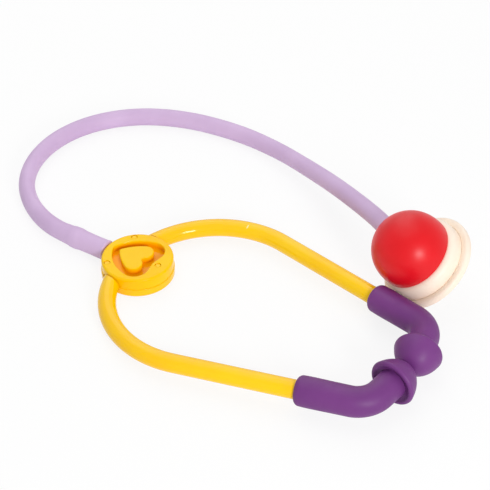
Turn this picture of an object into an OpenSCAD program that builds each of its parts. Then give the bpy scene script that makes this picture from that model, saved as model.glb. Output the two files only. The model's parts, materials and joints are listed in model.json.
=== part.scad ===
// Toy stethoscope, laid down on a table: a round hub with a heart on its face, two arms that swing
// about the hub, soft ear pieces, a hose that loops away and comes back, and a chest bell.
// Origin at the centre of the hub's back face. X points to the ear tips, Y to the left arm, Z up.

/* [Hub] */
// Diameter of the front shell
hub_d = 36; // [35:0.5:40]
// Thickness of the hub
hub_h = 10.4; // [10:0.1:12]
// Height of the seam between the back plate and the front shell
seam_z = 4.2; // [3.8:0.1:4.6]
// How far the back plate stands out past the front shell at the seam
hub_ledge = 0.4; // [0.2:0.1:0.8]
// Wall of the two shells
hub_wall = 2; // [1.8:0.1:2.2]
// Floor of the back plate
hub_floor = 1.6; // [1.4:0.1:1.7]
// Floor under the heart recess
web_t = 1; // [0.8:0.1:1.4]
// Rounding of the front edge
front_edge = 1.3; // [0.8:0.1:1.8]
// Rounding of the back edge
back_edge = 0.8; // [0.4:0.1:1.2]
// Diameter of the pivot post
post_d = 6; // [5:0.1:7]
// Diameter of the joining pins
pin_d = 3.2; // [2.8:0.1:3.4]
// Depth of the pin ends below the face
pin_sink = 0.3; // [0.2:0.1:0.6]

/* [Heart] */
// Length of the heart recess, from its point to its lobes
recess_len = 24.6; // [23:0.1:25]
// Width of the heart recess
recess_wid = 27.6; // [26:0.1:28]
// Length of the raised heart
heart_len = 16.6; // [14:0.1:18]
// Width of the raised heart
heart_wid = 19.2; // [17:0.1:21]

/* [Arms] */
// Diameter of the arm rods
arm_d = 9; // [8:0.1:9.4]
// Radius of the bend at the middle line of the rod
bend_r = 49.7; // [47:0.1:53]
// Place of the rod's root beside the hub, along X
root_x = -4.7; // [-6:0.1:-3]
// Place of the rod's root beside the hub, along Y
root_y = 13.4; // [12:0.1:14]
// Angle round the bend from X to the rod's root
root_angle = 166; // [160:1:170]
// Angle at which the straight part closes in
close_angle = 13; // [11:0.5:15]
// Length of the straight part up to the ear piece
straight_len = 58.8; // [54:0.1:62]
// Thickness of the flat pivot eye
eye_t = 1.9; // [1.7:0.1:2]
// Width of the flat neck through the hub wall
neck_w = 4.2; // [3.6:0.1:4.6]
// Opening angle of each arm
arm_open = 20; // [12:1:20]

/* [Ear pieces] */
// Diameter of the soft elbow
sleeve_d = 14; // [13:0.1:15]
// Length of the elbow's straight part
sleeve_len = 24.6; // [23:0.1:27]
// Bend radius of the elbow at its middle line
elbow_r = 13; // [11:0.1:14]
// Bend angle of the elbow
elbow_angle = 67; // [62:1:70]
// How far the arm reaches into the elbow
arm_insert = 20; // [15:0.5:22]
// How much less the left arm reaches into its elbow
left_slide = 1.5; // [0:0.1:3]
// Diameter of the ear tip
tip_d = 22.8; // [21:0.1:24]
// Height of the ear tip
tip_h = 12.8; // [12:0.1:13.6]
// Depth of the hollow under the ear tip
tip_hollow = 2.2; // [1.8:0.1:3]
// Diameter of the stem that holds the ear tip
stem_d = 6; // [5:0.1:7]

/* [Hose] */
// Outer diameter of the hose
hose_d = 9.2; // [8.4:0.1:9.4]
// Bore of the hose
bore_d = 6; // [5.4:0.1:6.4]
// Length of the hub spigot inside the hose
spigot_len = 21; // [18:0.5:23]
// Diameter of the hub spigot
spigot_d = 7.2; // [6.8:0.1:7.4]

/* [Bell] */
// Diameter of the dome at its widest
dome_d = 38.2; // [37:0.1:39]
// Height of the dome
dome_h = 22.9; // [22:0.1:24.6]
// Wall of the dome
dome_wall = 2; // [1.6:0.1:2.4]
// Diameter of the collar
collar_d = 42.2; // [41.6:0.1:43]
// Height of the collar that shows
collar_h = 7.7; // [7:0.1:8.6]
// Diameter of the rim
rim_d = 49.4; // [48:0.1:52]
// Thickness of the rim
rim_h = 3.9; // [3.6:0.1:4.4]
// Thickness of the diaphragm
skin_t = 1; // [0.6:0.1:1.2]
// Diameter of the bell spigot
bell_spigot_d = 5.6; // [5:0.1:5.7]
// Height of the hose's port in the dome above the bell's face
port_h = 21.5; // [21.2:0.1:23]
// Turn of the port about the bell's axis
port_turn = -75; // [-90:1:-60]
// Distance of the hose's end from the bell's axis
port_in = 8; // [7.5:0.1:9]

/* [Fits] */
// Play of the arm eyes on the post, on the radius
pivot_fit = 0.08; // [0.05:0.01:0.1]
// Play of the ear pieces on the arm ends, on the radius
sleeve_fit = 0.06; // [0.05:0.01:0.1]
// Gap between the flat faces that slide inside the hub
slide_gap = 0.2; // [0.15:0.01:0.25]
// Gap between the arm rods and the hub wall
arm_gap = 0.3; // [0.25:0.01:0.5]
// Gap between fixed pieces that slip together
slip = 0.05; // [0.02:0.01:0.08]
// Gap between the two ear tips
tip_gap = 0.6; // [0.4:0.1:1]

/* [Hidden] */
$fn = 96;
eps = 0.1;

yellow = [1, 0.78, 0.08];
lavender = [0.8, 0.69, 0.86];
purple = [0.43, 0.22, 0.53];
red = [0.9, 0.12, 0.16];
cream = [0.99, 0.92, 0.84];

// Levels inside the hub, from the back: floor, left eye, right eye, web under the recess
hub_r = hub_d / 2;
plate_r = hub_r + hub_ledge;
left_eye_z = hub_floor + slide_gap;
right_eye_z = left_eye_z + eye_t + slide_gap;
under_z = right_eye_z + eye_t + slide_gap;
recess_z = under_z + web_t;
cavity_r = hub_r - hub_wall;
eye_r = post_d / 2 + 2.6;

// The recess is set so that its point stays one wall short of the spigot's flange
recess_tip_x = -(hub_r - 3.5);
recess_side_r = 21;
recess_notch = 1.1;
heart_tip_x = recess_tip_x + 3.5;
heart_side_r = 26;
heart_notch = 2.8;

// Joining pins: one in the notch of the heart, two beside its point, which also stop the arms
pin_edge = 2.6;
rear_pin_angle = 131;
front_pin_x = recess_tip_x + recess_len - recess_notch + pin_d / 2 + 1.8;
pin_spots = concat(
    [[front_pin_x, 0]],
    [for (s = [-1, 1]) (hub_r - pin_edge) * [cos(rear_pin_angle), s * sin(rear_pin_angle)]]);

// Arms lie in a plane that rises to the ear pieces, so that the ear tips rest on the table
arm_floor_gap = 0.6;
arm_z = arm_d / 2 + arm_floor_gap;
neck_angle = 96;
bend_x = root_x - bend_r * cos(root_angle);
bend_y = root_y - bend_r * sin(root_angle);
straight_start = [bend_x + bend_r * sin(close_angle), bend_y + bend_r * cos(close_angle)];
sleeve_start = straight_start + straight_len * [cos(close_angle), -sin(close_angle)];
elbow_start = sleeve_start + sleeve_len * [cos(close_angle), -sin(close_angle)];
tip_angle = close_angle + elbow_angle;
elbow_end = elbow_start + elbow_r * [sin(tip_angle) - sin(close_angle), cos(tip_angle) - cos(close_angle)];
stub_len = (elbow_end[1] - tip_gap / 2) / sin(tip_angle) - tip_h + tip_hollow;
rim_centre_x = elbow_end[0] + (stub_len - tip_hollow) * cos(tip_angle);
arm_rise = asin((tip_d / 2 - arm_z) / rim_centre_x);

// Hose and spigots
hose_r = hose_d / 2;
swell_r = spigot_d / 2 + 1.7;
hose_z = swell_r + 0.35;
hose_end_x = -(plate_r + 0.2);
spigot_flange_r = spigot_d / 2 + 0.2;
spigot_neck_r = 3;
flange_x = -(hub_r - hub_wall + 0.6);
flange_t = 1.2;

// Bell: leans on the edge of its rim, with the face turned down and away from the hub, and is propped
// by the hose, which enters the side of the dome square to the bell's axis
bell_x = 128.5;
bell_y = 64.4;
bell_lean = 48;
bell_turn = -137;
rim_edge = 1.3;
dome_r = dome_d / 2;
collar_r = collar_d / 2;
rim_r = rim_d / 2;
dome_z = rim_h + collar_h;
lip_t = 1;
skin_z = lip_t;
collar_z = skin_z + skin_t;
bell_z = (rim_r - rim_edge) * cos(bell_lean) + rim_edge * (1 - sin(bell_lean));
bell_axis = [cos(bell_lean) * cos(bell_turn), cos(bell_lean) * sin(bell_turn), sin(bell_lean)];
bell_face = [bell_x, bell_y, bell_z];
bell_down = [sin(bell_lean) * cos(bell_turn), sin(bell_lean) * sin(bell_turn), -cos(bell_lean)];
bell_level = [-sin(bell_turn), cos(bell_turn), 0];
port = bell_face + port_h * bell_axis;
port_way = cos(port_turn) * bell_down + sin(port_turn) * bell_level;

// Route of the hose between its straight ends: a loop on the table, then a low rise to the dome's side
route = [[-51.5, 0.8, 5.2], [-62.3, 3.7, 4.8], [-76.5, 11, 4.8], [-88.2, 21.7, 4.8], [-96.2, 35.6, 4.8],
    [-99.9, 51.1, 4.8], [-99.2, 67, 4.8], [-94.1, 82.1, 4.8], [-85.1, 95.3, 4.8], [-73.2, 105.9, 4.8],
    [-59.1, 113.5, 4.8], [-43.9, 118.4, 4.8], [-28.1, 120.9, 4.8], [-12.1, 121.6, 4.8], [3.6, 119.2, 5.8],
    [18.8, 114.5, 7.9], [33.2, 108.3, 10.7], [47.1, 101.1, 14.1], [60.6, 93.3, 17.8], [73.8, 85, 21.5],
    [86.9, 76.6, 24.9]];

// Rounded flat disc outline for a turned solid: its top outer edge has the given rounding
module edge_profile(r, h, edge) {
    square([r - edge, h]);
    square([r, h - edge]);
    translate([r - edge, h - edge]) intersection() {
        circle(r = edge);
        square(edge);
    }
}

// Turned dome outline: a flank arc from radius r at height base, leaning in by flank, then a cap arc
module dome_profile(r, base, h, flank, side_r) {
    cx = r - side_r * cos(flank);
    cz = base - side_r * sin(flank);
    reach = h - cz;
    cap_r = (cx * cx + reach * reach - side_r * side_r) / (2 * (reach - side_r));
    meet_z = cz + side_r * (h - cap_r - cz) / (side_r - cap_r);
    intersection() {
        union() {
            translate([0, h - cap_r]) circle(r = cap_r);
            intersection() {
                translate([cx, cz]) circle(r = side_r);
                translate([-r, -h]) square([2 * r + side_r, h + meet_z]);
            }
        }
        translate([0, min(base, 0)]) square([r + eps, h]);
    }
}

// Centre of the circle of radius ra about a and rb about b that lies to the right of the way from a to b
function cross_point(a, b, ra, rb) =
    let (d = norm(b - a), u = (b - a) / d, along = (d * d + ra * ra - rb * rb) / (2 * d))
    a + along * u + sqrt(ra * ra - along * along) * [u[1], -u[0]];

// Flat heart with its point at x = 0 and its lobes toward +X; the lobes swell a little past the sides
module heart(len, wid, notch, side_r) {
    lobe_r = wid * 0.24;
    swell = 0.08;
    lobe = [len - lobe_r, wid / 2 - lobe_r];
    side = cross_point([0, 0], lobe, side_r, side_r - lobe_r + swell);
    meet = side + side_r * unit(lobe - side);
    for (m = [0, 1]) mirror([0, m]) translate(lobe) circle(r = lobe_r);
    intersection() {
        translate([side[0], side[1]]) circle(r = side_r);
        translate([side[0], -side[1]]) circle(r = side_r);
        translate([0, -wid]) square([meet[0], 2 * wid]);
    }
    polygon([[meet[0] - eps, -lobe[1]], [len - notch * 0.3, -lobe[1] * 0.7], [len - notch, 0],
        [len - notch * 0.3, lobe[1] * 0.7], [meet[0] - eps, lobe[1]]]);
}

// Sector cut through the hub wall that lets an arm neck swing
module neck_slot(z) {
    play = 1.5;
    half = asin(neck_w / 2 / plate_r) + play;
    rotate([0, 0, neck_angle - half])
        rotate_extrude(angle = arm_open + 2 * half)
            translate([cavity_r - eps, z - slide_gap]) square([plate_r - cavity_r + 1, eye_t + 2 * slide_gap]);
}

module neck_slots() {
    neck_slot(left_eye_z);
    mirror([0, 1, 0]) neck_slot(right_eye_z);
}

module pin_holes() {
    for (p = pin_spots)
        translate([p[0], p[1], hub_floor / 2]) cylinder(d = pin_d + 2 * slip, h = hub_h);
}

// Room for the spigot's neck and flange, shared by both shells
module spigot_seat() {
    translate([0, 0, hose_z]) rotate([0, -90, 0]) {
        cylinder(r = spigot_neck_r + slip, h = plate_r + 1);
        translate([0, 0, -flange_x - flange_t]) cylinder(r = spigot_flange_r + slip, h = flange_t + slip);
    }
}

module hub_front_shell() {
    color(yellow) {
        difference() {
            translate([0, 0, seam_z]) rotate_extrude() edge_profile(hub_r, hub_h - seam_z, front_edge);
            translate([0, 0, seam_z - eps]) cylinder(r = cavity_r, h = under_z - seam_z + eps);
            translate([recess_tip_x, 0, recess_z]) linear_extrude(hub_h)
                heart(recess_len, recess_wid, recess_notch, recess_side_r);
            neck_slots();
            pin_holes();
            spigot_seat_front();
        }
        translate([heart_tip_x, 0, recess_z - web_t / 2]) linear_extrude(hub_h - recess_z + web_t / 2)
            heart(heart_len, heart_wid, heart_notch, heart_side_r);
    }
}

// In the front shell the spigot's bore stops behind the flange
module spigot_seat_front() {
    intersection() {
        spigot_seat();
        translate([-plate_r - 1, -hub_r, 0]) cube([plate_r + 1 + flange_x + flange_t, hub_d, hub_h]);
    }
}

module hub_back_plate() {
    color(yellow) difference() {
        union() {
            difference() {
                translate([0, 0, seam_z]) mirror([0, 0, 1]) rotate_extrude() edge_profile(plate_r, seam_z, back_edge);
                translate([0, 0, hub_floor]) cylinder(r = cavity_r, h = seam_z);
            }
            translate([0, 0, hub_floor / 2]) cylinder(d = post_d, h = under_z - hub_floor / 2);
            spigot_rib();
        }
        neck_slots();
        pin_holes();
        spigot_seat();
    }
}

// Rib on the back plate that keeps the spigot's flange against the wall
module spigot_rib() {
    rib_t = 1.4;
    translate([flange_x + flange_t + slip, -spigot_flange_r, hub_floor / 2])
        cube([rib_t, 2 * spigot_flange_r, hose_z - hub_floor / 2 - spigot_neck_r]);
}

module hub_pins() {
    color(yellow) for (p = pin_spots)
        translate([p[0], p[1], hub_floor / 2]) cylinder(d = pin_d, h = hub_h - pin_sink - hub_floor / 2);
}

module hub_spigot() {
    barb_r = spigot_d / 2 + 0.3;
    barb_l = 4;
    color(yellow) translate([0, 0, hose_z]) rotate([0, -90, 0]) rotate_extrude()
        polygon([[1.6, -flange_x - flange_t], [spigot_flange_r, -flange_x - flange_t],
            [spigot_flange_r, -flange_x], [spigot_neck_r, -flange_x], [spigot_neck_r, -hose_end_x],
            [spigot_d / 2, -hose_end_x], [spigot_d / 2, -hose_end_x + spigot_len - barb_l],
            [barb_r, -hose_end_x + spigot_len - barb_l], [spigot_d / 2 - 0.8, -hose_end_x + spigot_len],
            [1.6, -hose_end_x + spigot_len]]);
}

// The plane of the arms, hinged up at the hub
module arm_plane() {
    translate([0, 0, arm_z]) rotate([0, -arm_rise, 0]) children();
}

// Left arm with its flat eye at height z; the right arm is its mirror image at the other height
module arm(z) {
    difference() {
        arm_plane() translate([bend_x, bend_y, 0]) rotate([0, 0, 90 - close_angle]) {
            rotate_extrude(angle = root_angle - 90 + close_angle) translate([bend_r, 0]) circle(d = arm_d);
            translate([bend_r, 0, 0]) rotate([90, 0, 0]) arm_rod();
        }
        translate([0, 0, -hub_h]) cylinder(r = plate_r + arm_gap, h = 3 * hub_h);
    }
    difference() {
        union() {
            translate([0, 0, z]) cylinder(r = eye_r, h = eye_t);
            rotate([0, 0, neck_angle]) translate([0, -neck_w / 2, z])
                cube([plate_r + arm_gap + 1.2, neck_w, eye_t]);
        }
        translate([0, 0, z - eps]) cylinder(r = post_d / 2 + pivot_fit, h = eye_t + 2 * eps);
    }
}

// Straight end of an arm, rounded off inside the ear piece
module arm_rod() {
    rotate_extrude() edge_profile(arm_d / 2, straight_len + arm_insert, 1);
}

module left_arm() {
    color(yellow) arm(left_eye_z);
}

module right_arm() {
    color(yellow) mirror([0, 1, 0]) arm(right_eye_z);
}

// Start of the right ear piece, with X along the arm and Y toward the other ear
module ear_frame(slide) {
    arm_plane() translate([sleeve_start[0], -sleeve_start[1], 0]) rotate([0, 0, close_angle])
        translate([slide, 0, 0]) children();
}

// End of the elbow's bend, with X toward the ear
module elbow_frame(slide) {
    ear_frame(slide) translate([sleeve_len, elbow_r, 0]) rotate([0, 0, elbow_angle])
        translate([0, -elbow_r, 0]) children();
}

module ear_sleeve(slide) {
    mouth_edge = 1.8;
    step = 0.05;
    color(purple) {
        ear_frame(slide) difference() {
            translate([sleeve_len, 0, 0]) {
                rotate([0, -90, 0]) rotate_extrude() edge_profile(sleeve_d / 2, sleeve_len, mouth_edge);
                translate([0, elbow_r, 0]) rotate([0, 0, -90])
                    rotate_extrude(angle = elbow_angle) translate([elbow_r, 0]) circle(d = sleeve_d);
            }
            translate([-1, 0, 0]) rotate([0, 90, 0])
                cylinder(r = arm_d / 2 + sleeve_fit, h = arm_insert + 1 + slide_gap);
        }
        elbow_frame(slide) rotate([0, 90, 0]) {
            translate([0, 0, -0.4]) cylinder(d = sleeve_d - 2 * step, h = stub_len + 0.4);
            cylinder(d = stem_d, h = stub_len + tip_h / 2);
        }
    }
}

// Mushroom-shaped ear tip with a hollow underside round the elbow's end
module ear_tip(slide) {
    lip_r = 1.4;
    hollow_r = tip_d / 2 - 2 * lip_r;
    color(purple) elbow_frame(slide) translate([stub_len - tip_hollow, 0, 0]) rotate([0, 90, 0]) difference() {
        rotate_extrude() {
            dome_profile(tip_d / 2 - 0.05, lip_r, tip_h, 12, 18);
            square([tip_d / 2 - lip_r, lip_r + eps]);
            translate([tip_d / 2 - lip_r, lip_r]) circle(r = lip_r);
        }
        translate([0, 0, -eps]) cylinder(r = hollow_r, h = tip_hollow + eps);
        cylinder(r = stem_d / 2 + slip, h = tip_hollow + tip_h / 2 + slip);
    }
}

module left_ear_sleeve() {
    mirror([0, 1, 0]) ear_sleeve(left_slide);
}

module right_ear_sleeve() {
    ear_sleeve(0);
}

module left_ear_tip() {
    mirror([0, 1, 0]) ear_tip(left_slide);
}

module right_ear_tip() {
    ear_tip(0);
}

// Middle line of the hose: straight over the hub spigot, along the route, straight into the dome's side
hose_line = concat(
    [for (s = [-6, 0, 6, 12, spigot_len - 4, spigot_len + 1]) [hose_end_x - s, 0, hose_z]],
    route,
    [for (s = [dome_r + 8, dome_r - 1, (dome_r - 1 + port_in) / 2, port_in, port_in - 5]) port + s * port_way]);

// Smooth curve through the points, with the way at each point weighed by the nearness of its neighbours
function chord(i) = norm(hose_line[i + 1] - hose_line[i]);
function way(i) =
    (chord(i) / chord(i - 1) * (hose_line[i] - hose_line[i - 1])
    + chord(i - 1) / chord(i) * (hose_line[i + 1] - hose_line[i])) / (chord(i - 1) + chord(i));
function between(i, t) =
    (2 * t * t * t - 3 * t * t + 1) * hose_line[i]
    + (t * t * t - 2 * t * t + t) * chord(i) * way(i)
    + (3 * t * t - 2 * t * t * t) * hose_line[i + 1]
    + (t * t * t - t * t) * chord(i) * way(i + 1);

hose_steps = 2;
hose_points = concat(
    [for (i = [1:len(hose_line) - 3], j = [0:hose_steps - 1]) between(i, j / hose_steps)],
    [hose_line[len(hose_line) - 2]]);
function unit(v) = v / norm(v);
function hose_way(i) =
    let (n = len(hose_points) - 1)
    unit(hose_points[min(i + 1, n)] - hose_points[max(i - 1, 0)]);

// Outer radius by the distance from the hub end: stretched over the spigot and its barb
function hose_outer(s) =
    lookup(s, [[0, swell_r], [12, swell_r - 0.15], [spigot_len - 3, swell_r + 0.15], [spigot_len + 1, swell_r - 0.1],
        [spigot_len + 8, hose_r]]);
function hose_bore(s) =
    lookup(s, [[0, spigot_d / 2 + 0.5], [spigot_len, spigot_d / 2 + 0.5], [spigot_len + 8, bore_d / 2]]);

// One ring of points round the middle line
function hose_ring(i, r, sides) =
    let (w = hose_way(i), u = unit(cross([0, 0, 1], w)), v = cross(w, u))
    [for (k = [0:sides - 1]) hose_points[i] + r * (cos(360 * k / sides) * u + sin(360 * k / sides) * v)];

module hose() {
    sides = 12;
    rings = len(hose_points);
    reach = [for (i = [0:rings - 1]) norm(hose_points[i] - hose_points[0])];
    points = concat(
        [for (i = [0:rings - 1]) each hose_ring(i, hose_outer(reach[i]), sides)],
        [for (i = [0:rings - 1]) each hose_ring(i, hose_bore(reach[i]), sides)]);
    inner = rings * sides;
    last = (rings - 1) * sides;
    outside = [for (i = [0:rings - 2], k = [0:sides - 1])
        let (a = i * sides + k, b = i * sides + (k + 1) % sides)
        each [[a, b, b + sides], [a, b + sides, a + sides]]];
    inside = [for (f = outside) [f[2] + inner, f[1] + inner, f[0] + inner]];
    ends = [for (k = [0:sides - 1])
        let (a = k, b = (k + 1) % sides)
        each [[a, a + inner, b + inner], [a, b + inner, b],
            [last + a, last + b, last + b + inner], [last + a, last + b + inner, last + a + inner]]];
    color(lavender) polyhedron(points = points, faces = concat(outside, inside, ends));
}

// The bell's own axis, with its face at zero and the dome above
module bell_frame() {
    translate(bell_face) rotate([0, 0, bell_turn]) rotate([0, 90 - bell_lean, 0]) children();
}

// Outer outline of the red dome, bellied a little above its lower edge
module dome_outline(grow) {
    belly_z = 3;
    dome_profile(dome_r + grow, belly_z, dome_h + grow, 0, 22 + grow);
}

// The port's own axis, square to the bell's axis, with Z out along the hose
module port_frame() {
    translate([0, 0, port_h]) rotate([0, 0, port_turn]) rotate([0, 90, 0]) children();
}

module bell_dome() {
    hole_r = hose_r + 0.12;
    sleeve_r = hole_r + 1.6;
    lip_r = 0.7;
    color(red) bell_frame() difference() {
        union() {
            translate([0, 0, dome_z]) rotate_extrude() {
                difference() {
                    dome_outline(0);
                    intersection() {
                        dome_outline(-dome_wall);
                        translate([0, -eps]) square([dome_r, dome_h]);
                    }
                    translate([0, -eps]) square([dome_r - dome_wall - 0.4, 1]);
                }
                translate([dome_r - 0.3 - lip_r, lip_r]) circle(r = lip_r);
            }
            intersection() {
                translate([0, 0, dome_z]) rotate_extrude() dome_outline(-0.2);
                port_frame() translate([0, 0, port_in - 1]) cylinder(r = sleeve_r, h = dome_r);
            }
        }
        port_frame() translate([0, 0, port_in - 1 - eps]) cylinder(r = hole_r, h = dome_r);
    }
}

module bell_collar() {
    web = 2;
    lip_in = dome_r - dome_wall - 0.5;
    shoulder_r = 3.5;
    color(cream) bell_frame() difference() {
        union() {
            translate([0, 0, collar_z]) rotate_extrude()
                edge_profile(collar_r, dome_z - collar_z, shoulder_r);
            cylinder_ring(lip_in, lip_in - 1.8, dome_z - web, dome_z + 3);
            translate([0, 0, dome_z - web]) cylinder(r = bell_spigot_d / 2 + 3, h = web + 5);
        }
        translate([0, 0, collar_z - eps]) cylinder(r = collar_r - 2.4, h = dome_z - collar_z - web + eps);
        translate([0, 0, dome_z - web - eps]) cylinder(r = bell_spigot_d / 2 - 0.4 + slip, h = web + 6);
    }
}

module cylinder_ring(outer, inner, low, high) {
    translate([0, 0, low]) difference() {
        cylinder(r = outer, h = high - low);
        translate([0, 0, -eps]) cylinder(r = inner, h = high - low + 2 * eps);
    }
}

// Post on the collar with a side nose that goes into the hose
module bell_spigot() {
    shank_r = bell_spigot_d / 2 - 0.4;
    post_r = bell_spigot_d / 2 + 0.6;
    seat_z = dome_z + 5;
    top_z = port_h + post_r;
    nose = port_in + 8;
    color(cream) bell_frame() {
        rotate_extrude()
            polygon([[0, dome_z - 2], [shank_r, dome_z - 2], [shank_r, seat_z], [post_r + 1.4, seat_z],
                [post_r + 1.4, seat_z + 1.5], [post_r, seat_z + 1.5], [post_r, top_z], [0, top_z]]);
        port_frame() rotate_extrude()
            polygon([[0, 0], [bell_spigot_d / 2, 0], [bell_spigot_d / 2, nose - 3], [bell_spigot_d / 2 - 0.9, nose],
                [0, nose]]);
    }
}

module bell_rim() {
    open_r = collar_r - 1.4;
    color(cream) bell_frame() difference() {
        rotate_extrude() {
            square([rim_r - rim_edge, rim_h]);
            translate([0, rim_edge]) square([rim_r, rim_h - 2 * rim_edge]);
            translate([rim_r - rim_edge, rim_edge]) circle(r = rim_edge);
            translate([rim_r - rim_edge, rim_h - rim_edge]) circle(r = rim_edge);
        }
        translate([0, 0, -eps]) cylinder(r = open_r, h = rim_h);
        translate([0, 0, lip_t]) cylinder(r = collar_r + 0.12, h = rim_h);
    }
}

module diaphragm() {
    color(cream) bell_frame() translate([0, 0, skin_z]) cylinder(r = collar_r - slip, h = skin_t);
}

hub_front_shell();
hub_back_plate();
hub_pins();
hub_spigot();
left_arm();
right_arm();
left_ear_sleeve();
right_ear_sleeve();
left_ear_tip();
right_ear_tip();
hose();
bell_dome();
bell_collar();
bell_spigot();
bell_rim();
diaphragm();
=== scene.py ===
# %% [markdown]
# # A toy stethoscope, laid down on a table
# The real toy is a round yellow hub with a heart on its face, two bent yellow arms that swing in the
# hub, purple rubber ear pieces, a lavender hose that lies in a wide loop, and a chest bell with a red
# dome. The solids were made in a CAD program. Here they are loaded as a fixed
# frame, so every length below is in the same place as in the solids, and nothing has to be fitted.

# %% Load the frame
import json
import math

import bmesh
import bpy
from mathutils import Matrix, Vector

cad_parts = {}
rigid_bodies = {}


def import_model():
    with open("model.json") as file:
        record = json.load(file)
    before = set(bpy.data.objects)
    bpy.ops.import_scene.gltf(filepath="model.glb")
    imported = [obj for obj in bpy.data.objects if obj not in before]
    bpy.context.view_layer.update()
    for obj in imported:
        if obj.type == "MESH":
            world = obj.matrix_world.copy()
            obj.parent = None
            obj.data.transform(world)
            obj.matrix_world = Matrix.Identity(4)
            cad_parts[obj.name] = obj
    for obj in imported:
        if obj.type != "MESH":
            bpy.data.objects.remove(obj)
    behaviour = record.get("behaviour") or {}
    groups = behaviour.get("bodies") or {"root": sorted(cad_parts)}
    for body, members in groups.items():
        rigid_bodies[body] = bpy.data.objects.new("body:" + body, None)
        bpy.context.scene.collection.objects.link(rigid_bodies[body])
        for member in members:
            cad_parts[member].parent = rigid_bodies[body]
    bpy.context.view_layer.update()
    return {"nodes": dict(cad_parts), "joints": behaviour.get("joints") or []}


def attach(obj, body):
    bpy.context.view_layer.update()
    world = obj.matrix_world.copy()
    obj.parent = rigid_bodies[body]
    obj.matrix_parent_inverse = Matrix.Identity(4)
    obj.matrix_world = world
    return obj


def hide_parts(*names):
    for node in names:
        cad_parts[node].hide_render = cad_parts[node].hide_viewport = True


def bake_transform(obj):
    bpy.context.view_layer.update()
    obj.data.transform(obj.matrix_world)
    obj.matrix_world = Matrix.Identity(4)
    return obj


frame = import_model()
MM = 0.001
scene = bpy.context.scene

# %% [markdown]
# ## The camera
# The photograph looks down on the toy from the side of the right arm, with a long lens from well
# away. A camera can be placed by eye, but here its place was worked out from points of the photo
# that could be measured: the hub's circle, the arms' bends and the bell's rim.

# %% Camera
bpy.ops.object.select_all(action="DESELECT")
bpy.ops.object.camera_add(
    location=(0.3045, -0.3917, 0.4373),
    rotation=(math.radians(49.624), 0, math.radians(31.671)),
)
camera = bpy.context.object
camera.name = "photo_camera"
camera.data.lens = 96.46
camera.data.sensor_width = 36
scene.camera = camera
print("camera", [round(v, 3) for v in camera.location])

# %% [markdown]
# ## Small helpers for working by hand
# Each operator acts on what is selected, so a piece is always picked up alone. Most pieces of this
# toy are turned, as on a lathe: a line is drawn point by point by extruding a single corner, and the
# spin operator sweeps it round. A screw modifier would do the same, but spin leaves a plain mesh.


# %% Helpers for picking and drawing
def pick(piece):
    bpy.ops.object.select_all(action="DESELECT")
    piece.select_set(True)
    bpy.context.view_layer.objects.active = piece
    return piece


def draw_line(name, points, closed=False):
    """Draw a line of edges through points in millimetres, and stay in edit mode."""
    bpy.ops.object.select_all(action="DESELECT")
    bpy.ops.mesh.primitive_plane_add(size=MM)
    piece = bpy.context.object
    piece.name = name
    bpy.ops.object.mode_set(mode="EDIT")
    bpy.ops.mesh.select_mode(type="VERT")
    bpy.ops.mesh.merge(type="CENTER")
    here = Vector(points[0])
    bpy.ops.transform.translate(value=here * MM)
    for point in points[1:]:
        step = Vector(point) - here
        bpy.ops.mesh.extrude_region_move(TRANSFORM_OT_translate={"value": step * MM})
        here = Vector(point)
    bpy.ops.mesh.select_all(action="SELECT")
    if closed:
        bpy.ops.mesh.remove_doubles(threshold=0.0005 * MM)
    return piece


# %% Helpers for closing up, placing and turning
def close_up(piece, smooth_angle=40):
    """Merge seams and poles, turn all faces outwards and shade the round faces smoothly."""
    bpy.ops.mesh.select_all(action="SELECT")
    bpy.ops.mesh.remove_doubles(threshold=0.002 * MM)
    bpy.ops.mesh.normals_make_consistent(inside=False)
    bpy.ops.object.mode_set(mode="OBJECT")
    pick(piece)
    bpy.ops.object.shade_smooth_by_angle(angle=math.radians(smooth_angle))
    return piece


def settle(piece, place):
    """Move a finished piece to its place and write the place into its mesh."""
    piece.matrix_world = place
    pick(piece)
    bpy.ops.object.transform_apply(location=True, rotation=True, scale=True)
    print(piece.name, len(piece.data.polygons), "faces")
    return piece


def turned(name, outline, place, steps=96):
    """Spin an outline of (radius, height) in millimetres round Z, and put the piece in its place."""
    piece = draw_line(name, [(r, 0, z) for r, z in outline], closed=True)
    bpy.ops.mesh.spin(steps=steps, angle=2 * math.pi, center=(0, 0, 0), axis=(0, 0, 1))
    return settle(close_up(piece), place)


def arc(centre_r, centre_z, radius, start, end, count):
    """Points of an arc in a turned outline; angles in degrees from the outward direction."""
    turns = [math.radians(start + (end - start) * i / count) for i in range(count + 1)]
    return [(centre_r + radius * math.cos(t), centre_z + radius * math.sin(t)) for t in turns]


# %% [markdown]
# ## The bell's place
# The bell leans on the edge of its rim, with the dome up and turned back to the hub. The same numbers
# place it as in the solids: where its face is, how far its axis leans and how far it turns. The hose
# goes into a port in the side of the dome, square to the bell's axis and on the side away from us.

# %% Bell frame and hose port
rim_r, rim_edge, bell_lean, bell_turn = 24.7, 1.3, math.radians(48), math.radians(-137)
rim_h, collar_h, dome_r = 3.9, 7.7, 19.1
dome_z = rim_h + collar_h
bell_z = (rim_r - rim_edge) * math.cos(bell_lean) + rim_edge * (1 - math.sin(bell_lean))
bell_face = Vector((128.5, 64.4, bell_z))
bell_place = (
    Matrix.Translation(bell_face * MM)
    @ Matrix.Rotation(bell_turn, 4, "Z")
    @ Matrix.Rotation(math.pi / 2 - bell_lean, 4, "Y")
)
port_h, port_turn, port_in = 21.5, math.radians(-75), 8.0
port = bell_face + bell_place.to_3x3() @ Vector((0, 0, port_h))
port_way = bell_place.to_3x3() @ Vector((math.cos(port_turn), math.sin(port_turn), 0))
print("the hose leaves the bell's axis at", [round(v, 2) for v in port])

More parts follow.
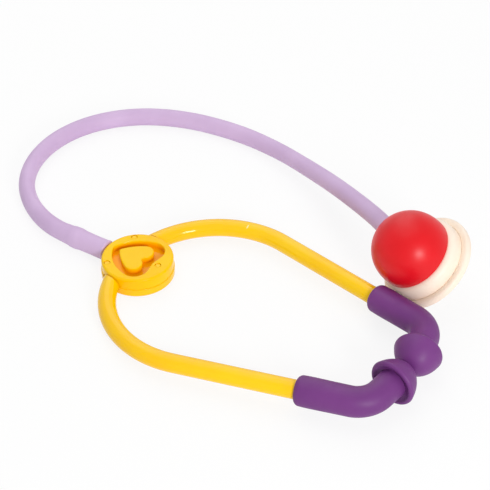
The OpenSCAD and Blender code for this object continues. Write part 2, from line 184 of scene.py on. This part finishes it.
# %% [markdown]
# ## The hose
# The hose is one length of soft lavender tube, 379 mm long. It is stretched over a barbed spigot at
# the hub, lies on the table in a wide loop, and rises a little to the port in the dome. A curve with
# its own thickness at each point is the natural tool, because the swell over the spigot is only a
# change of radius. The curve is then made a mesh. A row of cylinders would show its joints. A soft
# tube that is bent also goes oval: narrower in the bend and taller across it, which is one more
# scaling of the finished mesh.

# %% Route of the hose, in millimetres
hose_end_x, hose_z, hose_r, swell_r = -18.6, 5.65, 4.6, 5.3
hub_run = [(hose_end_x - s, 0, hose_z) for s in (-6, 0, 6, 12, 17, 22)]
route = [
    (-51.5, 0.8, 5.2), (-62.3, 3.7, 4.8), (-76.5, 11, 4.8), (-88.2, 21.7, 4.8), (-96.2, 35.6, 4.8),
    (-99.9, 51.1, 4.8), (-99.2, 67, 4.8), (-94.1, 82.1, 4.8), (-85.1, 95.3, 4.8), (-73.2, 105.9, 4.8),
    (-59.1, 113.5, 4.8), (-43.9, 118.4, 4.8), (-28.1, 120.9, 4.8), (-12.1, 121.6, 4.8),
    (3.6, 119.2, 5.8), (18.8, 114.5, 7.9), (33.2, 108.3, 10.7), (47.1, 101.1, 14.1),
    (60.6, 93.3, 17.8), (73.8, 85, 21.5), (86.9, 76.6, 24.9),
]
dome_side = dome_r - 1
bell_steps = (dome_r + 8, dome_side, (dome_side + port_in) / 2, port_in, port_in - 5)
bell_run = [port + s * port_way for s in bell_steps]
knots = [Vector(p) for p in hub_run + route + bell_run]


def heading(i):
    """The way of the line at a knot, weighed by how near its neighbours are."""
    before, after = knots[i] - knots[i - 1], knots[i + 1] - knots[i]
    b, a = before.length, after.length
    return (before * (a / b) + after * (b / a)) / (a + b)


def smooth_points(steps):
    """Points of a smooth curve through the knots; the outer two knots only give the way."""
    points = []
    for i in range(1, len(knots) - 2):
        span = (knots[i + 1] - knots[i]).length
        for j in range(steps):
            t = j / steps
            points.append(
                (2 * t**3 - 3 * t**2 + 1) * knots[i]
                + (t**3 - 2 * t**2 + t) * span * heading(i)
                + (3 * t**2 - 2 * t**3) * knots[i + 1]
                + (t**3 - t**2) * span * heading(i + 1)
            )
    return points + [knots[-2]]


hose_points = smooth_points(8)
hose_reach = [0.0]
for a, b in zip(hose_points, hose_points[1:]):
    hose_reach.append(hose_reach[-1] + (b - a).length)


# %% Hose, as a curve of changing thickness
def hose_radius(s):
    """Outer radius at a distance from the hub end: a cut lip, the stretch over the spigot, a waist."""
    marks = [(0, swell_r - 0.35), (0.5, swell_r + 0.15), (1, swell_r + 0.1), (1.8, swell_r - 0.1),
             (9, swell_r - 0.2), (15, swell_r - 0.15),
             (18.2, swell_r + 0.2), (20.5, swell_r + 0.1), (24, hose_r + 0.3), (29, hose_r),
             (70, hose_r - 0.3), (240, hose_r - 0.25), (310, hose_r), (1000, hose_r)]
    for (s0, r0), (s1, r1) in zip(marks, marks[1:]):
        if s <= s1:
            t = (s - s0) / (s1 - s0)
            return r0 + (r1 - r0) * (3 * t**2 - 2 * t**3)


bpy.ops.object.select_all(action="DESELECT")
bpy.ops.curve.primitive_nurbs_path_add()
hose = bpy.context.object
hose.name = "hose_tube"
hose.data.splines.clear()
strand = hose.data.splines.new("POLY")
lip_steps = [0.25, 0.5]
strand_points = [hose_points[0]] + [
    hose_points[0].lerp(hose_points[1], k) for k in lip_steps] + hose_points[1:]
strand.points.add(len(strand_points) - 1)
walked = 0.0
for i, point in enumerate(strand_points):
    walked += (point - strand_points[i - 1]).length if i else 0
    strand.points[i].co = (*(point * MM), 1)
    strand.points[i].radius = hose_radius(walked)
hose.data.bevel_depth = MM
hose.data.bevel_resolution = 16
hose.data.use_fill_caps = True
print("hose curve", len(strand.points), "points")

# %% Hose, as a mesh that goes oval in its loop
oval, oval_foot, oval_fade = 1.17, 3.2, 60
loop_x, far_x, far_y = -75, -20, 50
pick(hose)
bpy.ops.object.convert(target="MESH")
bpy.ops.object.mode_set(mode="EDIT")
bpy.ops.mesh.select_mode(type="VERT")
bpy.ops.mesh.select_all(action="DESELECT")
tube = bmesh.from_edit_mesh(hose.data)
for corner in tube.verts:
    x, y = corner.co.x / MM, corner.co.y / MM
    corner.select_set(x < loop_x or (x < far_x and y > far_y))
bmesh.update_edit_mesh(hose.data)
bpy.ops.transform.resize(
    value=(1, 1, oval), center_override=(0, 0, oval_foot * MM), use_proportional_edit=True,
    proportional_edit_falloff="SMOOTH", proportional_size=oval_fade * MM,
)
close_up(hose, 50)
heights = [corner.co.z / MM for corner in hose.data.vertices if corner.co.x < -90 * MM]
print("hose tube", len(hose.data.polygons), "faces")
print("in the loop it is", round(max(heights) - min(heights), 2), "mm tall")

# %% Hose, from the hub to the bell
hose_points[0] * MM
[p * MM for p in hose_points]
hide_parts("hose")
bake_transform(hose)
print(hose.name, "goes from the hub to the bell")

# %% [markdown]
# ## The hub's front shell
# The face of the hub is a ring round a heart-shaped recess, with a smaller heart standing in it. The
# recess could be cut again with a boolean, but the solid already has it, together with the slots for
# the arms and the seat of the spigot. So a copy of the solid's mesh is taken, its triangles are merged
# into whole faces, and only what the mould adds is done by hand: the edges of the hearts are rounded.
# Rounded edges beside large flat faces shade badly, unless the large faces count for more in the
# normals, so a weighted normal modifier ends the work.


# %% Picking edges by their place
def pick_edges(piece, wanted):
    """Select the edges of a piece in edit mode for which wanted(edge) is true."""
    bpy.ops.mesh.select_all(action="DESELECT")
    mesh = bmesh.from_edit_mesh(piece.data)
    chosen = [edge for edge in mesh.edges if wanted(edge)]
    for edge in chosen:
        edge.select_set(True)
    bmesh.update_edit_mesh(piece.data)
    return len(chosen)


hub_top, pin_r, heart_edge, ledge_edge = 10.4, 1.6, 0.7, 0.45
pin_spots = [Vector(spot) * MM for spot in ((12.4, 0), (-10.103, 11.623), (-10.103, -11.623))]


def round_hearts(edge):
    """True for the sharp edges of the two hearts in the hub's face, and not for the pin holes."""
    level = all(v.co.z > (hub_top - 0.01) * MM for v in edge.verts)
    at_pin = any((v.co.xy - spot).length < (pin_r + 0.2) * MM for v in edge.verts for spot in pin_spots)
    return level and not at_pin and edge.calc_face_angle(0) > math.radians(60)


# %% Merged copies of solids
def copy_of(node, name):
    """A copy of a solid's mesh with its triangles merged into whole faces, left in edit mode."""
    pick(frame["nodes"][node])
    bpy.ops.object.duplicate()
    piece = bpy.context.object
    piece.name = name
    for key in list(piece.keys()):
        del piece[key]
    bpy.ops.object.parent_clear(type="CLEAR_KEEP_TRANSFORM")
    bpy.ops.object.mode_set(mode="EDIT")
    bpy.ops.mesh.select_mode(type="EDGE")
    bpy.ops.mesh.select_all(action="SELECT")
    bpy.ops.mesh.remove_doubles(threshold=0.002 * MM)
    bpy.ops.mesh.dissolve_limited(angle_limit=math.radians(0.5))
    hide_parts(node)
    return piece


def weigh_normals(piece):
    """Let the large faces of a closed-up piece decide the shading of its rounded edges."""
    pick(piece)
    bpy.ops.object.modifier_add(type="WEIGHTED_NORMAL")
    piece.modifiers[-1].keep_sharp = True
    piece.modifiers[-1].mode = "FACE_AREA_WITH_ANGLE"
    bpy.ops.object.modifier_apply(modifier=piece.modifiers[-1].name)
    print(piece.name, len(piece.data.polygons), "faces")


# %% Hub front
hub_front = copy_of("hub_front_shell", "hub_front")
found = pick_edges(hub_front, round_hearts)
bpy.ops.mesh.bevel(offset=heart_edge * MM, segments=4, affect="EDGES", clamp_overlap=False)
print("rounded", found, "edges of the hearts")
close_up(hub_front)
weigh_normals(hub_front)
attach(hub_front, "hub")

# %% [markdown]
# ## The back plate
# The back plate stands out a little at the seam, and its rounded ledge shows as a light line round the
# hub, so a copy of the solid gets that one edge rounded. The arms need nothing: a bent round rod has
# no edge to round, so their solids stay as they are and only get a finish.

# %% Back plate
seam_z, plate_r = 4.2, 18.4


def round_ledge(edge):
    """True for the sharp outer edge of the plate at the seam."""
    level = all(abs(v.co.z - seam_z * MM) < 0.01 * MM for v in edge.verts)
    outside = all(abs(v.co.xy.length - plate_r * MM) < 0.03 * MM for v in edge.verts)
    return level and outside and edge.calc_face_angle(0) > math.radians(60)


back_plate = copy_of("hub_back_plate", "back_plate")
found = pick_edges(back_plate, round_ledge)
bpy.ops.mesh.bevel(offset=ledge_edge * MM, segments=3, affect="EDGES", clamp_overlap=True)
print("rounded", found, "edges of the ledge")
close_up(back_plate)
weigh_normals(back_plate)
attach(back_plate, "hub")

# %% [markdown]
# ## The joining pins
# Three pins hold the two shells of the hub together. Only their ends show, as small round marks in the
# face. One pin is turned with a rounded end, and copied to the other two places.

# %% Joining pins
pin_foot, pin_end, pin_edge = 0.8, hub_top - 0.2, 0.75
pin_outline = [(0, pin_foot), (pin_r, pin_foot), (pin_r, pin_end - 2 * pin_edge)]
pin_outline += arc(pin_r - pin_edge, pin_end - pin_edge, pin_edge, 0, 90, 6) + [(0, pin_end)]
pins = turned("pins", pin_outline, Matrix.Translation(pin_spots[0].to_3d()), steps=32)
bpy.ops.object.mode_set(mode="EDIT")
bpy.ops.mesh.select_all(action="SELECT")
for here, there in zip(pin_spots, pin_spots[1:]):
    bpy.ops.mesh.duplicate_move(TRANSFORM_OT_translate={"value": (there - here).to_3d()})
bpy.ops.object.mode_set(mode="OBJECT")
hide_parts("hub_pins")
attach(pins, "hub")
print("pins", len(pins.data.polygons), "faces")

# %% [markdown]
# ## The ear pieces
# Each ear piece is an elbow of soft rubber, pushed over the arm's end, with a mushroom-shaped tip. The
# elbow is drawn out ring by ring from the end of its bore, out of the mouth and back along its outside;
# the bend is one spin of the last ring, and the end is one more extrude. A curve would make the bend
# too, but not the rolled lip of the mouth. The tip is turned. Both are modelled once, for the right
# ear, and copied and mirrored for the left.

# %% Ear frame, from the joint that twists the right ear piece
twist = next(j for j in frame["joints"] if j["name"] == "right_ear_twist")
along = Vector(twist["axis"]).normalized()
rise = math.atan2(along.z, along.x)
upward = Vector((-math.sin(rise), 0, math.cos(rise)))
across = upward.cross(along)
ear_place = Matrix((along, across, upward)).transposed().to_4x4()
ear_place.translation = Vector(twist["pos_m"])
sleeve_r, sleeve_len, bore_r, bore_len = 7.0, 24.6, 4.56, 20.2
elbow_r, elbow_angle, stub_len = 13.0, math.radians(67), 10.046
tip_h, tip_hollow, left_slide = 12.8, 2.2, 1.5
print("ear piece at", [round(v, 4) for v in ear_place.translation])

# %% Ear sleeve
mouth_r, mouth_round = 4.15, 2.9
lip = [(x, r) for r, x in [(4.62, 0.3)] + arc(mouth_r, mouth_round, mouth_round, 283, 360, 12)]
rings = [(bore_len, bore_r), (10, bore_r), (2, bore_r), (1, bore_r + 0.05)] + lip
rings += [(5, sleeve_r + 0.12), (8, sleeve_r + 0.15), (16, sleeve_r + 0.05), (sleeve_len, sleeve_r)]
bpy.ops.object.select_all(action="DESELECT")
bpy.ops.mesh.primitive_circle_add(
    vertices=64, radius=bore_r * MM, fill_type="NGON", rotation=(0, math.pi / 2, 0),
    location=(bore_len * MM, 0, 0),
)
right_sleeve = bpy.context.object
right_sleeve.name = "right_sleeve"
bpy.ops.object.transform_apply(location=True, rotation=True, scale=True)
bpy.ops.object.mode_set(mode="EDIT")
bpy.ops.mesh.select_mode(type="EDGE")
bpy.ops.mesh.select_all(action="SELECT")
bpy.ops.mesh.region_to_loop()
for (x0, r0), (x1, r1) in zip(rings, rings[1:]):
    bpy.ops.mesh.extrude_edges_move(TRANSFORM_OT_translate={"value": ((x1 - x0) * MM, 0, 0)})
    bpy.ops.transform.resize(value=(1, r1 / r0, r1 / r0), center_override=(x1 * MM, 0, 0))
bpy.ops.mesh.spin(
    steps=24, angle=-elbow_angle, center=(sleeve_len * MM, elbow_r * MM, 0), axis=(0, 0, 1))
stub_way = Vector((math.cos(elbow_angle), math.sin(elbow_angle), 0))
bpy.ops.mesh.extrude_edges_move(TRANSFORM_OT_translate={"value": stub_way * stub_len * MM})
bpy.ops.mesh.edge_face_add()
close_up(right_sleeve)
settle(right_sleeve, ear_place)

# %% Ear tip
tip_meet, tip_lip = 40.9, 1.4
tip_dome = arc(-6.257, -2.342, 18, 14, tip_meet, 12) + arc(0, 3.078, 9.722, tip_meet, 90, 14)[1:-1]
tip_outline = [(0, tip_hollow), (7.02, tip_hollow), (7.1, 1.35), (7.6, 1.3)]
tip_outline += [(8.3, 1.05), (8.95, 0.6), (9.35, 0.25), (9.6, 0.08)]
tip_outline += arc(10.0, tip_lip, tip_lip, 258, 365, 12) + tip_dome + [(0, tip_h), (0, tip_hollow)]
tip_place = (
    ear_place
    @ Matrix.Translation(Vector((sleeve_len, elbow_r, 0)) * MM)
    @ Matrix.Rotation(elbow_angle, 4, "Z")
    @ Matrix.Translation(Vector((stub_len - tip_hollow, -elbow_r, 0)) * MM)
    @ Matrix.Rotation(math.pi / 2, 4, "Y")
)
right_tip = turned("right_tip", tip_outline, tip_place)


# %% The left ear piece, mirrored
def mirrored(piece, name):
    """A copy for the left side, slid out by as much as the left arm reaches less into its elbow."""
    pick(piece)
    bpy.ops.object.duplicate()
    twin = bpy.context.object
    twin.name = name
    twin.scale = (1, -1, 1)
    twin.location = Vector((along.x, -along.y, along.z)) * left_slide * MM
    bpy.ops.object.transform_apply(location=True, rotation=True, scale=True)
    bpy.ops.object.mode_set(mode="EDIT")
    return close_up(twin)


left_sleeve = mirrored(right_sleeve, "left_sleeve")
left_tip = mirrored(right_tip, "left_tip")
for side, sleeve, tip in (("right", right_sleeve, right_tip), ("left", left_sleeve, left_tip)):
    for piece, node in ((sleeve, f"{side}_ear_sleeve"), (tip, f"{side}_ear_tip")):
        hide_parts(node)
        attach(piece, f"{side}_ear")
        print(piece.name, "stands for", node)

# %% [markdown]
# ## The chest bell
# The bell is four turned pieces on one axis: a red dome, a cream collar that it sits on, a wider cream
# rim, and a thin disc behind the rim. Each outline is drawn once and spun. The lips and grooves are in
# the outlines, because they catch the light and a plain cylinder's edge would not.

# %% Dome
cap_r, cap_z, flank_r, flank_z, meet = 18.948, 3.952, 22.0, 3.0, 18.17
flank_in, wall = dome_r - flank_r, 2.0
outer = arc(0, cap_z, cap_r, 90, meet, 20) + arc(flank_in, flank_z, flank_r, meet, -5, 8)[1:]
foot_r, foot_round, seat_r = 18.3, 0.72, 16.7
lower = arc(foot_r, foot_round, foot_round, -12, -90, 6) + [(seat_r, 0), (seat_r, 1)]
inner = arc(flank_in, flank_z, flank_r - wall, -5, meet, 6)
inner += arc(0, cap_z, cap_r - wall, meet, 90, 12)[1:]
dome_place = bell_place @ Matrix.Translation((0, 0, dome_z * MM))
bell_dome = turned("dome", outer + lower + inner, dome_place, steps=128)

# %% Port in the side of the dome
port_hole_r, drill_len, drill_out = hose_r + 0.15, 16, 17
bpy.ops.object.select_all(action="DESELECT")
bpy.ops.mesh.primitive_cylinder_add(
    vertices=64, radius=port_hole_r * MM, depth=drill_len * MM,
    location=(port + drill_out * port_way) * MM,
    rotation=port_way.to_track_quat("Z", "Y").to_euler(),
)
drill = bpy.context.object
pick(bell_dome)
bpy.ops.object.modifier_add(type="BOOLEAN")
bell_dome.modifiers[-1].operation = "DIFFERENCE"
bell_dome.modifiers[-1].solver = "EXACT"
bell_dome.modifiers[-1].object = drill
bpy.ops.object.modifier_apply(modifier=bell_dome.modifiers[-1].name)
pick(drill)
bpy.ops.object.delete()
pick(bell_dome)
bpy.ops.object.shade_smooth_by_angle(angle=math.radians(40))
print("dome with its port", len(bell_dome.data.polygons), "faces")

# %% Collar, rim and disc
collar_r, shoulder_r, throat_r, collar_in = 21.1, 3.5, 17.0, 18.7
collar_outline = [(throat_r, dome_z - 2), (throat_r, dome_z), (collar_r - shoulder_r, dome_z)]
collar_outline += arc(collar_r - shoulder_r, dome_z - shoulder_r, shoulder_r, 90, 0, 12)[1:]
collar_outline += [(collar_r, 2), (collar_in, 2), (collar_in, dome_z - 2), (throat_r, dome_z - 2)]
bell_collar = turned("collar", collar_outline, bell_place)
groove_r = collar_r + 0.03
rim_outline = [(groove_r, 1), (groove_r, rim_h - 0.45), (groove_r + 0.12, rim_h - 0.15)]
rim_outline += [(groove_r + 0.35, rim_h)]
rim_outline += arc(rim_r - rim_edge, rim_h - rim_edge, rim_edge, 90, 0, 10)
rim_outline += arc(rim_r - rim_edge, rim_edge, rim_edge, 0, -90, 10)
rim_outline += [(collar_r - 1.1, 0), (collar_r - 1.4, 0.3), (collar_r - 1.4, 1), (groove_r, 1)]
bell_rim = turned("rim", rim_outline, bell_place)
disc_r = collar_r - 0.05
disc_outline = [(0, 1), (17.4, 1), (17.8, 1.3), (18.4, 1.3), (18.8, 1)]
disc_outline += [(disc_r, 1), (disc_r, 2), (0, 2), (0, 1)]
bell_disc = turned("disc", disc_outline, bell_place)
for piece, node, name in (
    (bell_dome, "bell_dome", "dome"), (bell_collar, "bell_collar", "bell"),
    (bell_rim, "bell_rim", "bell"), (bell_disc, "diaphragm", "bell"),
):
    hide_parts(node)
    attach(piece, "bell")

# %% [markdown]
# ## Finishes
# Each finish is a small node tree. Writing one out link by link hides what it does, so one class wraps
# a socket: sums and products of two wires add Math nodes, and any other node comes from one method.


# %% A socket that can be reckoned with
class Wire:
    """One output of a node; arithmetic on wires adds Math nodes to their tree."""

    def __init__(self, socket):
        self.socket = socket
        self.tree = socket.id_data

    def node(self, kind, settings=None, values=None, out=0):
        made = self.tree.nodes.new(kind)
        for name, value in (settings or {}).items():
            setattr(made, name, value)
        for name, value in (values or {}).items():
            if isinstance(value, Wire):
                self.tree.links.new(value.socket, made.inputs[name])
            else:
                made.inputs[name].default_value = value
        return Wire(made.outputs[out])

    def maths(self, operation, first, second):
        return self.node("ShaderNodeMath", {"operation": operation}, {0: first, 1: second})

    def __add__(self, other):
        return self.maths("ADD", self, other)

    def __sub__(self, other):
        return self.maths("SUBTRACT", self, other)

    def __rsub__(self, other):
        return self.maths("SUBTRACT", other, self)

    def __mul__(self, other):
        return self.maths("MULTIPLY", self, other)

    __radd__, __rmul__ = __add__, __mul__

    def part(self, axis):
        """One of the three numbers of a vector: 0 for X, 1 for Y, 2 for Z."""
        return self.node("ShaderNodeSeparateXYZ", None, {"Vector": self}, out=axis)

    def noise(self, scale, detail=2.0):
        return self.node("ShaderNodeTexNoise", None, {"Vector": self, "Scale": scale, "Detail": detail})

    def band(self, low, high):
        """This value brought to 0 at low and 1 at high, with soft ends."""
        settings = {"interpolation_type": "SMOOTHSTEP"}
        values = {"Value": self, "From Min": low, "From Max": high}
        return self.node("ShaderNodeMapRange", settings, values)

    def mix(self, first, second):
        """A colour between two, with this value as the share of the second."""
        return self.node("ShaderNodeMix", {"data_type": "RGBA"}, {0: self, 6: first, 7: second}, out=2)

    def bump(self, strength, distance, under=None):
        """A normal from this value as a height, on top of another normal if there is one."""
        values = {"Height": self, "Strength": strength, "Distance": distance}
        if under:
            values["Normal"] = under
        return self.node("ShaderNodeBump", None, values)


# %% [markdown]
# ### What all the finishes share
# Moulded plastic and rubber are never quite even: the colour drifts a little over a few centimetres,
# the gloss changes where fingers have been, and the surface has a fine skin. Each finish below gets
# these three from noise at its own scale, on top of constants set straight on the shader.


# %% One function for a moulded finish
def rgb(red, green, blue):
    """A colour as it is seen on screen, 0 to 255, made linear for the shader."""
    def linear(v):
        v /= 255
        return v / 12.92 if v <= 0.04045 else ((v + 0.055) / 1.055) ** 2.4
    return (linear(red), linear(green), linear(blue), 1.0)


def moulded(name, colour, deeper, gloss, skin, constants, shade=None, ridge=None):
    """A finish from two close colours, a (low, high) roughness and a (scale, strength) skin.

    shade, if given, is a function of the place that says where a third colour comes in, and that
    colour. ridge, if given, is a function of the place that gives the height of what stands up.
    """
    material = bpy.data.materials.new(name)
    material.use_nodes = True
    tree = material.node_tree
    shader = tree.nodes["Principled BSDF"]
    for socket, value in constants.items():
        shader.inputs[socket].default_value = value
    place = Wire(tree.nodes.new("ShaderNodeTexCoord").outputs["Object"])
    drift = place.noise(45, 3).band(0.3, 0.7)
    touched = place.noise(160, 4).band(0.35, 0.75)
    scale, strength = skin
    surface = place.noise(scale, 3).bump(strength, 0.2 * MM)
    if ridge:
        surface = ridge(place).bump(0.5, 0.1 * MM, under=surface)
    tone = drift.mix(colour, deeper)
    if shade:
        where, third = shade
        tone = where(place).mix(tone, third)
    links = {
        "Base Color": tone,
        "Roughness": touched * (gloss[1] - gloss[0]) + gloss[0],
        "Normal": surface,
    }
    for socket, wire in links.items():
        tree.links.new(wire.socket, shader.inputs[socket])
    print("finish", name)
    return material


# %% The finishes
matt_shine, gloss_shine, hub_shine = ({"Specular IOR Level": v} for v in (0.3, 0.26, 0.15))
yellow, deep_yellow = rgb(255, 207, 2), rgb(255, 199, 0)
yellow_gloss, yellow_skin = (0.09, 0.16), (700, 0.03)
yellow_plastic = moulded(
    "yellow_plastic", yellow, deep_yellow, yellow_gloss, yellow_skin, gloss_shine)
purple_rubber = moulded(
    "purple_rubber", rgb(117, 56, 127), rgb(108, 50, 119), (0.45, 0.58), (900, 0.08), matt_shine)
lavender_tube = moulded(
    "lavender_tube", rgb(213, 185, 221), rgb(206, 177, 214), (0.5, 0.62), (800, 0.08), matt_shine)
red_plastic = moulded(
    "red_plastic", rgb(230, 16, 28), rgb(221, 10, 22), (0.34, 0.42), (900, 0.06), matt_shine)
cream_plastic = moulded(
    "cream_plastic", rgb(254, 239, 222), rgb(252, 232, 212), (0.38, 0.48), (800, 0.05), matt_shine)

# %% [markdown]
# ### The arms' parting line
# The arms come out of a mould in two halves, and where the halves met, a hair's breadth of plastic
# stands up along both sides of the rod. It could be modelled, but it is far thinner than the rod's own
# faces, so a bump does it: a narrow band on both sides of the plane in which the arms lie. On top of
# the left arm's bend there is also a short nick, made by a bump as well. It looks like the scar of the
# gate, where the plastic ran into the mould and was snapped off. The nick is also painted a paler
# yellow in the base colour.


# %% Arm finish
arm_z, parting = 5.1, math.tan(rise)
gate_spot, gate_size = Vector((34.6, 48.4, 10.6)) * MM, Vector((0.5, 1.5, 1.5)) * MM


def parting_line(place):
    """1 within a tenth of a millimetre of the arms' middle plane, 0 a quarter away from it."""
    off = place.part(2) - place.part(0) * parting - arm_z * MM
    return off.node("ShaderNodeMath", {"operation": "ABSOLUTE"}, {0: off}).band(0.25 * MM, 0.1 * MM)


def gate_nick(place):
    """1 on the scar of the gate, 0 round it."""
    off = place.node("ShaderNodeVectorMath", {"operation": "SUBTRACT"}, {0: place, 1: gate_spot})
    share = off.node("ShaderNodeVectorMath", {"operation": "DIVIDE"}, {0: off, 1: gate_size})
    return share.node("ShaderNodeVectorMath", {"operation": "LENGTH"}, {0: share}, out=1).band(1, 0.4)


arm_plastic = moulded(
    "arm_plastic", yellow, deep_yellow, yellow_gloss, yellow_skin, gloss_shine,
    # the nick is painted a paler yellow in the base colour
    shade=(gate_nick, rgb(255, 238, 170)),
    ridge=lambda place: parting_line(place) + 2 * gate_nick(place),
)

# %% [markdown]
# ### Painted shade in the heart recess
# Light that falls into the recess goes from wall to wall through the plastic before it comes out, and
# each time it turns more orange. The render does only a part of that, because it stops at the surface,
# so the yellow of the hub's face gets a painted orange shade below the face, inside the ring.


# %% Hub finish
def painted_recess_shade(place):
    """Share of the painted orange shade: 0 on the face and outside of the hub, rising to 1 at the
    recess floor.
    """
    flat = place.node("ShaderNodeVectorMath", {"operation": "MULTIPLY"}, {0: place, 1: (1, 1, 0)})
    reach = flat.node("ShaderNodeVectorMath", {"operation": "LENGTH"}, {0: flat}, out=1)
    return reach.band(16.4 * MM, 15.9 * MM) * place.part(2).band(10.2 * MM, 7.2 * MM)


hub_plastic = moulded(
    "hub_plastic", yellow, deep_yellow, yellow_gloss, yellow_skin, hub_shine,
    # painted shade: a deeper orange in the base colour inside the recess
    shade=(painted_recess_shade, rgb(248, 168, 0)),
)


def dress(piece, material):
    piece.data.materials.clear()
    piece.data.materials.append(material)


nodes = frame["nodes"]
dress(hub_front, hub_plastic)
for piece in (pins, back_plate, nodes["hub_spigot"]):
    dress(piece, yellow_plastic)
for piece in (nodes["left_arm"], nodes["right_arm"]):
    dress(piece, arm_plastic)
for piece in (right_sleeve, left_sleeve, right_tip, left_tip):
    dress(piece, purple_rubber)
for piece in (bell_collar, bell_rim, bell_disc, nodes["bell_spigot"]):
    dress(piece, cream_plastic)
dress(hose, lavender_tube)
dress(bell_dome, red_plastic)

# %% [markdown]
# ## Floor, backdrop and light
# The photo is a studio shot on white. The floor and the world show plain white to the camera and to
# reflections, and the light on the toy comes from soft boxes at a plain level, so that each colour
# comes out about as it was written.

# %% Floor and world
bpy.ops.object.select_all(action="DESELECT")
bpy.ops.mesh.primitive_plane_add(size=6, location=(0, 0, -0.0004))
floor = bpy.context.object
floor.name = "floor"


def seen_directly(tree):
    """1 on the rays that the camera sends and on their reflections, 0 on all others."""
    path = tree.nodes.new("ShaderNodeLightPath")
    camera_ray, glossy_ray, clear_ray = (
        Wire(path.outputs[f"Is {kind} Ray"]) for kind in ("Camera", "Glossy", "Transmission"))
    return camera_ray.maths("MAXIMUM", camera_ray.maths("MAXIMUM", camera_ray, glossy_ray), clear_ray)


paper = bpy.data.materials.new("white_paper")
paper.use_nodes = True
tree = paper.node_tree
matt = tree.nodes["Principled BSDF"]
matt.inputs["Base Color"].default_value = (0.95, 0.95, 0.95, 1)
matt.inputs["Roughness"].default_value = 0.9
seen = seen_directly(tree)
glow = seen.node("ShaderNodeEmission", None, {"Strength": 1.0})
sheet = seen.node("ShaderNodeMixShader", None, {0: seen * 0.85, 1: Wire(matt.outputs[0]), 2: glow})
tree.links.new(sheet.socket, tree.nodes["Material Output"].inputs["Surface"])
dress(floor, paper)
world = bpy.data.worlds.new("studio")
scene.world = world
world.use_nodes = True
sky = world.node_tree.nodes["Background"]
ambient = 0.5
level = seen_directly(world.node_tree) * (1 - ambient) + ambient
sky.inputs["Color"].default_value = (1, 1, 1, 1)
world.node_tree.links.new(level.socket, sky.inputs["Strength"])
scene.view_settings.view_transform = "Standard"


# %% Soft boxes
def soft_box(name, location, target, size, watts):
    bpy.ops.object.select_all(action="DESELECT")
    aim = (Vector(target) - Vector(location)).to_track_quat("-Z", "Y").to_euler()
    bpy.ops.object.light_add(type="AREA", location=location, rotation=aim)
    lamp = bpy.context.object
    lamp.name = name
    lamp.data.shape = "RECTANGLE"
    lamp.data.size, lamp.data.size_y = size
    lamp.data.energy = watts
    print(name, watts, "W")


middle = (0.03, 0.03, 0.01)
soft_box("overhead", (-0.25, 0.2, 1.0), middle, (0.9, 0.9), 2.8)
soft_box("right_front", (0.82, -0.5, 0.44), middle, (0.22, 0.3), 5.2)
soft_box("left_back", (-0.55, 0.75, 0.75), middle, (0.8, 0.8), 2.3)
